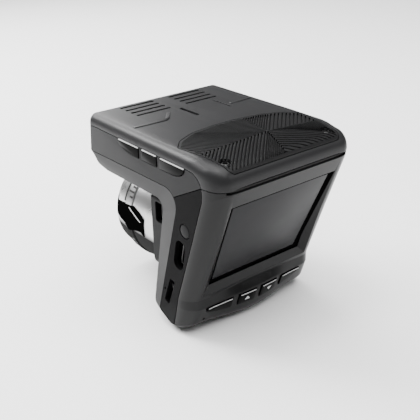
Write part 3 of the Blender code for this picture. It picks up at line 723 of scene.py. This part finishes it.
def menu_button_outlines():
    """The four menu buttons in the lip's plane, (x, up along the lip)."""
    inner = [(1.3, lip_top(1.3)), (9.8, lip_top(9.8)), (9.8, -2.9), (1.3, -3.1)]
    outer = [(12.8, lip_top(12.8)), (19, lip_top(19)), (24.4, lip_top(24.4))]
    outer += [(24.6, -0.2), (23.2, -1.6), (20.2, -2.4), (16.5, -2.8), (12.8, -2.9)]
    outlines = {"down_button": inner, "ok_button": outer}
    for name, source in (("up_button", inner), ("menu_button", outer)):
        outlines[name] = [(-x, up) for x, up in reversed(source)]
    return outlines


BUTTON_MARKS = {
    "up_button": [(-6.9, -1.2), (-5.7, 0.4), (-4.5, -1.2)],
    "down_button": [(4.5, 0.2), (5.7, -1.4), (6.9, 0.2)],
}


def lip_plate(name, outline, low, high):
    """A plate parallel to the lip, from low to high along its outward normal."""
    thing = plate(name, outline, "z", low, high)
    thing.rotation_euler = (math.pi / 2 + LIP_TILT, 0, 0)
    thing.location = LIP_MIDDLE * MM
    return thing


def painted_top_highlight(outline):
    """A thin strip just inside a menu button's top edge: a painted highlight."""
    start = min(x for x, up in outline) + 0.6
    stop = max(x for x, up in outline) - 0.6
    steps = [start + (stop - start) * k / 8 for k in range(9)]
    return strip([Vector((x, lip_top(x) - 0.2)) for x in steps], HIGHLIGHT_WIDTH)


def raised_mark(name, button, outline, form):
    """A light grey piece that stands on a menu button: a painted highlight along its top edge, or a
    printed arrow.
    """
    mark = add_mesh(name, form.data.copy())
    cut(mark, lip_plate(name + "_edge", outline, -3.0, 6), "INTERSECT")
    keep(mark, button, slot="bright_silver", material=LOOKS["edge_grey"])


def make_menu_buttons(bezel):
    """The four menu buttons, each in its own hole in the bezel."""
    proud = body_form("proud_form", -BUTTON_PROUD)
    lined = body_form("lined_form", -LINE_PROUD)
    for name, outline in menu_button_outlines().items():
        cut(bezel, lip_plate(name + "_hole", grown(outline, GAP), -7, 6))
        button = add_mesh(name, proud.data.copy())
        cut(button, lip_plate(name + "_edge", outline, -4.0, 6), "INTERSECT")
        button.data = tidy_mesh(bake(button), 0.00002)
        button.modifiers.clear()
        soften(button, 0.25, 2, 40)
        keep(button, name, [name])
        # Painted highlight: a light grey strip along the button's top edge.
        raised_mark(name + "_line", name, painted_top_highlight(outline), lined)
        if name in BUTTON_MARKS:
            raised_mark(name + "_mark", name, BUTTON_MARKS[name], lined)


def make_bezel():
    """The rear bezel with the display's recess, the menu buttons and the microphone's hole."""
    bezel = shell("rear_bezel", BEZEL_REGION)
    cut(bezel, recess_cutter())
    cut(bezel, screen_plate("display_opening", screen_outline(0), -8, 0.5))
    make_menu_buttons(bezel)
    cut(bezel, rod("microphone_hole", 0.5, (-24.6, -45, -70.0), (0, 1, 0), 20, 24))
    bezel.data = tidy_mesh(bake(bezel))
    bezel.modifiers.clear()
    cut(bezel, rear_gap(), solver="MANIFOLD")
    keep(bezel, "rear_bezel", ["rear_bezel"])


def make_display():
    """The display: a dark border round the part that shows, widened on the right and at the bottom as
    painted shade for the recess walls.
    """
    shown = shown_outline()
    mask = screen_plate("display_border_and_shade", screen_outline(GAP), -1.2, -0.05, [shown])
    keep(mask, "display_glass", ["display_glass"], "black_plastic", LOOKS["black_and_painted_shade"])
    glass = screen_plate("display_pane", grown(shown, -0.02), -1.2, -0.1)
    soften(glass, 0.1)
    keep(glass, "display_glass")


def shown_outline():
    """The part of the display that shows, inside its dark border; the wider right and bottom border is
    painted shade for the recess walls.
    """
    top, low = GLASS_TOP[0], GLASS_LOW[0]
    upper = SCREEN_HALF - 0.5
    lower = 1.7 - SCREEN_HALF
    return [(0.9 - top, upper), (top - 3.4, upper), (low - 2.4, lower), (0.7 - low, lower)]


# ---------------------------------------------------------------- lower housing and camera
CASE_SCREWS = [(-25.8, 12.5), (25.8, 12.5), (-25.8, -14), (25.8, -14)]


def make_lower_housing():
    """The slab's lower shell, in one piece with the arm's front, and its four case screws."""
    housing = shell("lower_housing", LOWER_REGION)
    for side, sign in (("left", -1), ("right", 1)):
        low, high = sorted((sign * (PANEL_IN - GAP / 2), sign * 60))
        cut(housing, region_plate("panel_room_" + side, PANEL_REGION, -GAP / 2, low, high))
    cut(housing, rod("camera_hole", 12, (0, -32, LENS_Z), (0, 1, 0), 30, 62))
    for index, (x, y) in enumerate(CASE_SCREWS, start=1):
        cut(housing, rod(f"case_screw_hole_{index}", 2.5, (x, y, -26), (0, 0, 1), 8))
        name = f"case_screw_{index}"
        profile = [(0, 10), (1.0, 10), (1.0, 1.6), (2.1, 1.6), (2.1, 0.3), (1.8, 0), (0, 0)]
        screw = turned(name, profile, (x, y, -22.2), (0, 0, 1), 48)
        crossed(screw, (x, y, -22.2), 0.9, 1.2, -1)
        keep(screw, name, [name])
    for modifier in housing.modifiers:
        modifier.solver = "MANIFOLD"
    # The housing gets the darker copy of the satin: painted shade for its sides.
    keep(housing, "lower_housing", ["lower_housing"], material=LOOKS["satin_painted_side_shade"])


def housing_outline():
    """The camera housing seen from the front, (x, z)."""
    top = SLAB_BOTTOM - GAP
    half = [(HOUSING_HALF, top, 2.6), (HOUSING_HALF, -52, 4), (17.5, -67.8, 9)]
    mirrored = [(-x, z, radius) for x, z, radius in reversed(half)]
    return rounded([*half, *mirrored], 12)


def make_lens_housing():
    """The hollow block that carries the lens, with the opening for the mini USB socket."""
    outline = housing_outline()
    housing = plate("lens_housing", outline, "y", -30, HOUSING_FRONT_Y)
    cut(housing, body_form("clearance_form", -GAP))
    cut(housing, plate("lens_housing_hollow", grown(outline, -WALL), "y", -40, HOUSING_FRONT_Y - WALL))
    cut(housing, rod("lens_hole", 10, (0, -20, LENS_Z), (0, 1, 0), 20, 96))
    usb = [(-18.4, -25.7, 0.8), (-14.1, -25.7, 0.8), (-14.1, -34.1, 0.8), (-18.4, -34.1, 0.8)]
    cut(housing, plate("usb_opening", rounded(usb, 6), "x", -35, -25))
    keep(housing, "lens_housing", ["lens_housing"])


RING_START = 14.4
RING_STOP = 18.9
RING_STEP = 0.4
BARREL_BORE = 21.5
TICKS = 66
# The inset's outline seen from the driver's left, (y, z).
INSET = [(26.0, -38.9), (25.4, -41.0), (19.7, -40.3), (13.2, -39.8), (9.0, -41.0), (5.0, -42.8)]
INSET += [(5.0, -50.8), (7.0, -49.4), (10.2, -49.9), (16.9, -52.0), (18.5, -50.0), (24.1, -48.5)]
INSET += [(26.0, -47.0)]
INSET_LINE = [(15.6, -40.9), (11.5, -42.6), (6.6, -44.6)]


def along_lens(name, profile, y, sides=144):
    """A piece turned about the camera's axis; heights in the profile run towards the road."""
    return turned(name, profile, (0, y, LENS_Z), (0, 1, 0), sides)


def collar(radius, length, chamfer):
    """A tube's profile with small chamfers at both ends of its outside."""
    profile = [(radius, length - chamfer), (radius, chamfer), (radius - chamfer, 0), (BARREL_BORE, 0)]
    return profile + [(BARREL_BORE, length), (radius - chamfer, length)]


def make_lens():
    """The barrel in three pieces: rear, scale ring and tapered front."""
    rear = HOUSING_FRONT_Y + GAP
    barrel = along_lens("lens_rear_barrel", collar(LENS_R, RING_START - GAP - rear, 0.25), rear)
    keep(barrel, "lens_rear_barrel", ["lens_rear_barrel"])
    profile = collar(LENS_R + RING_STEP, RING_STOP - RING_START, 0.3)
    ring = along_lens("lens_scale_ring", profile, RING_START)
    keep(ring, "lens_scale_ring", ["lens_scale_ring"])
    length = LENS_RIM_Y - RING_STOP - GAP
    front = [(22.7, length - 0.5), (LENS_R, 0.2), (LENS_R - 0.2, 0), (BARREL_BORE, 0)]
    front += [(BARREL_BORE, length), (22.3, length)]
    piece = along_lens("lens_front_barrel", front, RING_STOP + GAP)
    keep(piece, "lens_front_barrel", ["lens_front_barrel"])


def lens_patch(name, outline, inner, outer):
    """A patch on the barrel's left, drawn in side view, that follows its step and taper."""
    band = [(outer - 1.12, 36), (outer - 0.35, 28.4), (outer, 28), (outer, 0), (inner, 0), (inner, 36)]
    patch = along_lens(name, band, -9.0)
    cut(patch, plate(name + "_edge", outline, "x", -30, -12), "INTERSECT")
    return patch


def make_lens_inset():
    """The dark inset on the barrel's side, with a bright line across it."""
    inset = lens_patch("lens_inset", INSET, 22.0, 23.93)
    soften(inset, 0.12)
    keep(inset, "lens_front_barrel", slot="button_black", material=LOOKS["black_and_painted_shade"])
    line = strip([Vector(place) for place in INSET_LINE], 0.4)
    keep(lens_patch("lens_inset_line", line, 23.0, 24.05), "lens_rear_barrel", slot="bright_silver")


def make_lens_scale():
    """The ticks round the scale ring, every third one longer, left out beside the inset."""
    form = bmesh.new()
    radius = (LENS_R + 0.3) * MM
    for index in range(TICKS):
        angle = 2 * math.pi * (index + 0.5) / TICKS
        if abs(math.sin(angle)) < 0.33 and math.cos(angle) < 0:
            continue
        reach = 2.0 if index % 3 else 3.4
        tick = bmesh.ops.create_cube(form, size=1.0)["verts"]
        bmesh.ops.scale(form, vec=Vector((0.5, reach, 0.9)) * MM, verts=tick)
        turn = Matrix.Rotation(-angle, 4, "Y")
        along = Matrix.Translation((0, (RING_START + 0.4 + reach / 2) * MM, LENS_Z * MM))
        place = along @ turn @ Matrix.Translation((radius, 0, 0))
        bmesh.ops.transform(form, matrix=place, verts=tick)
    mesh = bpy.data.meshes.new("lens_ticks")
    form.to_mesh(mesh)
    form.free()
    keep(add_mesh("lens_ticks", mesh), "lens_scale_ring", slot="black_plastic")


def make_lens_groove():
    """A dark groove round the upper part of the front barrel."""
    radius = LENS_R + 0.12
    band = [(radius, 0.9), (radius, 0), (22.0, 0), (22.0, 0.9)]
    ring = along_lens("lens_groove", band, RING_STOP + 0.55)
    upper = [(-30, -39.5), (-30, -20), (30, -20), (30, -39.5)]
    cut(ring, plate("groove_edge", upper, "y", 0, 30), "INTERSECT")
    keep(ring, "lens_front_barrel", slot="black_plastic")


# ---------------------------------------------------------------- looks
def node(tree, kind, **values):
    """A new shader node with its settings."""
    made = tree.nodes.new(kind)
    for key, value in values.items():
        setattr(made, key, value)
    return made


def look(name, colour, roughness, metallic=0.0, grain=2600.0, depth=0.00001, round_edge=0.0002,
         mottle=0.15, coat=0.0, shine=0.3, painted_shade_heights=None):
    """A Principled finish with a fine moulded grain, uneven gloss and rounded edges.

    Given a pair of heights, it paints shade: bright plating above the upper one, plating darkened in
    colour and metal below the lower one.
    """
    material = bpy.data.materials.new(name)
    material.use_nodes = True
    tree = material.node_tree
    shader = tree.nodes["Principled BSDF"]
    place = node(tree, "ShaderNodeTexCoord")
    fine = node(tree, "ShaderNodeTexNoise")
    fine.inputs["Scale"].default_value = grain
    fine.inputs["Detail"].default_value = 3.0
    tree.links.new(place.outputs["Object"], fine.inputs["Vector"])
    bump = node(tree, "ShaderNodeBump")
    bump.inputs["Strength"].default_value = 0.35
    bump.inputs["Distance"].default_value = depth
    tree.links.new(fine.outputs["Fac"], bump.inputs["Height"])
    if round_edge:
        bevel = node(tree, "ShaderNodeBevel", samples=6)
        bevel.inputs["Radius"].default_value = round_edge
        tree.links.new(bevel.outputs["Normal"], bump.inputs["Normal"])
    tree.links.new(bump.outputs["Normal"], shader.inputs["Normal"])
    broad = node(tree, "ShaderNodeTexNoise")
    broad.inputs["Scale"].default_value = 55.0
    broad.inputs["Detail"].default_value = 4.0
    tree.links.new(place.outputs["Object"], broad.inputs["Vector"])
    gloss = node(tree, "ShaderNodeMapRange")
    gloss.inputs["To Min"].default_value = roughness * (1 - mottle)
    gloss.inputs["To Max"].default_value = roughness * (1 + mottle)
    tree.links.new(broad.outputs["Fac"], gloss.inputs["Value"])
    tree.links.new(gloss.outputs["Result"], shader.inputs["Roughness"])
    tint = node(tree, "ShaderNodeValToRGB")
    tint.color_ramp.elements[0].color = (*(c * 0.93 for c in colour), 1)
    tint.color_ramp.elements[1].color = (*(min(c * 1.07, 1) for c in colour), 1)
    tree.links.new(broad.outputs["Fac"], tint.inputs["Fac"])
    tinted = tint.outputs["Color"]
    # Painted shade: colour and metal fall off below the given heights, standing in for shade on the
    # underside.
    if painted_shade_heights:
        split = node(tree, "ShaderNodeSeparateXYZ")
        tree.links.new(place.outputs["Object"], split.inputs["Vector"])
        shade_fade = node(tree, "ShaderNodeMapRange")
        shade_fade.inputs["From Min"].default_value = painted_shade_heights[0] * MM
        shade_fade.inputs["From Max"].default_value = painted_shade_heights[1] * MM
        shade_fade.inputs["To Min"].default_value = 0.04
        tree.links.new(split.outputs["Z"], shade_fade.inputs["Value"])
        scaled = node(tree, "ShaderNodeVectorMath", operation="SCALE")
        tree.links.new(tinted, scaled.inputs["Vector"])
        tree.links.new(shade_fade.outputs["Result"], scaled.inputs["Scale"])
        tinted = scaled.outputs["Vector"]
        tree.links.new(shade_fade.outputs["Result"], shader.inputs["Metallic"])
    else:
        shader.inputs["Metallic"].default_value = metallic
    tree.links.new(tinted, shader.inputs["Base Color"])
    shader.inputs["Coat Weight"].default_value = coat
    shader.inputs["Specular IOR Level"].default_value = shine
    return material


LOOKS = {
    "satin_shell": look("satin_shell", (0.012, 0.012, 0.0126), 0.38, shine=0.17),
    # Darker, less shiny copies of satin_shell and dark_shell: painted shade for the side faces.
    "satin_painted_side_shade": look("satin_painted_side_shade", (0.0085, 0.0085, 0.009), 0.4, shine=0.075),
    "panel_shell": look("panel_shell", (0.003, 0.003, 0.0032), 0.45, shine=0.022),
    "dark_shell": look("dark_shell", (0.0035, 0.0035, 0.0038), 0.45, shine=0.07),
    "gloss_bezel": look("gloss_bezel", (0.0035, 0.0035, 0.0038), 0.32, shine=0.17),
    "grille_black": look("grille_black", (0.0045, 0.0045, 0.0048), 0.42, shine=0.17, round_edge=0.0001),
    "button_black": look("button_black", (0.002, 0.002, 0.002), 0.3, shine=0.025, grain=1800),
    # Plain black, also used as painted shade: the display's wide right and bottom border stands in for
    # the shaded recess walls.
    "black_and_painted_shade": look("black_and_painted_shade", (0.0015, 0.0015, 0.0015), 0.5, shine=0.0, grain=1800),
    # Light grey for the painted highlights on the buttons' top edges and for the printed arrows.
    "edge_grey": look("edge_grey", (0.55, 0.55, 0.55), 0.45, grain=1800),
    "screen_glass": look("screen_glass", (0.015, 0.015, 0.016), 0.42, shine=0.12, grain=900,
                         depth=0.000002),
    # Painted shade on the barrels: colour and metal darken from -48.5 mm down to -51.5 mm and stay dark
    # below.
    "bright_silver": look("bright_silver", (0.5, 0.5, 0.5), 0.28, grain=1500, depth=0.000004,
                          shine=0.0, painted_shade_heights=(-51.5, -48.5)),
    "optic_glass": look("optic_glass", (0.01, 0.01, 0.016), 0.06, grain=700, depth=0.000001, coat=1.0),
    "board_green": look("board_green", (0.02, 0.1, 0.05), 0.45, grain=900),
    "steel": look("steel", (0.16, 0.16, 0.16), 0.4, 1.0, grain=1200),
    "black_plastic": look("black_plastic", (0.015, 0.015, 0.015), 0.45),
    "ceramic": look("ceramic", (0.55, 0.5, 0.42), 0.6, grain=1600),
    "screw_black": look("screw_black", (0.03, 0.03, 0.03), 0.35, 0.8, grain=1500, round_edge=0.0001),
}


# ---------------------------------------------------------------- stage, in metres
FLOOR_HALF = 3.0
# Each light: its name, place, size and power; they all point at one spot on the body.
LIGHTS = [
    ("overhead", (-0.1, -0.1, 1.3), (1.8, 1.8), 66.0),
    ("key", (-0.27, 0.45, 0.36), (0.25, 0.25), 6.5),
    ("sheen", (0.1, 0.65, 0.36), (0.5, 0.4), 5.0),
    ("crown", (-0.22, 0.06, 0.8), (0.2, 0.2), 2.5),
    ("rim", (0.4, -0.5, 0.33), (0.2, 0.2), 0.9),
]
LIGHT_AIM = (0, -0.015, -0.035)
CAMERA_LENS = 61.01
CAMERA_PLACE = (-0.16473, -0.218455, 0.086)
CAMERA_RIGHT = (0.77868314, -0.62711408, -0.01950631)
CAMERA_UP = (0.28315751, 0.32351123, 0.9028634)


def stage():
    """A pale floor under the part, soft lights and the camera."""
    floor_z = CAD_BOX[0][2] - 0.0005
    mesh = bpy.data.meshes.new("floor")
    corners = [(-1, -1), (1, -1), (1, 1), (-1, 1)]
    mesh.from_pydata([(x * FLOOR_HALF, y * FLOOR_HALF, floor_z) for x, y in corners], [], [(0, 1, 2, 3)])
    floor = bpy.data.objects.new("floor", mesh)
    SCENE.objects.link(floor)
    pale = bpy.data.materials.new("pale_floor")
    pale.use_nodes = True
    shader = pale.node_tree.nodes["Principled BSDF"]
    shader.inputs["Base Color"].default_value = (0.86, 0.86, 0.86, 1)
    shader.inputs["Roughness"].default_value = 0.9
    mesh.materials.append(pale)
    world = bpy.data.worlds.new("studio")
    world.use_nodes = True
    world.node_tree.nodes["Background"].inputs["Color"].default_value = (0.95, 0.95, 0.95, 1)
    world.node_tree.nodes["Background"].inputs["Strength"].default_value = 0.2
    bpy.context.scene.world = world
    for name, place, size, power in LIGHTS:
        data = bpy.data.lights.new(name, "AREA")
        data.shape = "RECTANGLE"
        data.size, data.size_y = size
        data.energy = power
        lamp = bpy.data.objects.new(name, data)
        lamp.location = place
        aim = Vector(LIGHT_AIM) - Vector(place)
        lamp.rotation_euler = aim.to_track_quat("-Z", "Y").to_euler()
        SCENE.objects.link(lamp)
    add_camera()


def add_camera():
    """The camera at the photo's angle."""
    data = bpy.data.cameras.new("camera")
    data.lens = CAMERA_LENS
    data.sensor_width = 36
    data.clip_start = 0.01
    eye = bpy.data.objects.new("camera", data)
    right = Vector(CAMERA_RIGHT)
    up = Vector(CAMERA_UP)
    turn = Matrix((right, up, right.cross(up))).transposed().to_4x4()
    eye.matrix_world = Matrix.Translation(CAMERA_PLACE) @ turn
    SCENE.objects.link(eye)
    bpy.context.scene.camera = eye


# ---------------------------------------------------------------- build
def dress_cad():
    """Looks for the CAD pieces that stay as they are."""
    for name, thing in frame["nodes"].items():
        thing.data.materials.clear()
        thing.data.materials.append(LOOKS[NODE_SLOTS[name]])


def main():
    """Build every piece, clear the working objects away and set the stage."""
    dress_cad()
    make_top_cover()
    make_grille()
    make_grille_screws()
    make_frame()
    make_panels()
    make_bezel()
    make_display()
    make_lower_housing()
    make_lens_housing()
    make_lens()
    make_lens_inset()
    make_lens_scale()
    make_lens_groove()
    for thing in list(WORK.objects):
        bpy.data.objects.remove(thing)
    bpy.data.collections.remove(WORK)
    stage()


main()
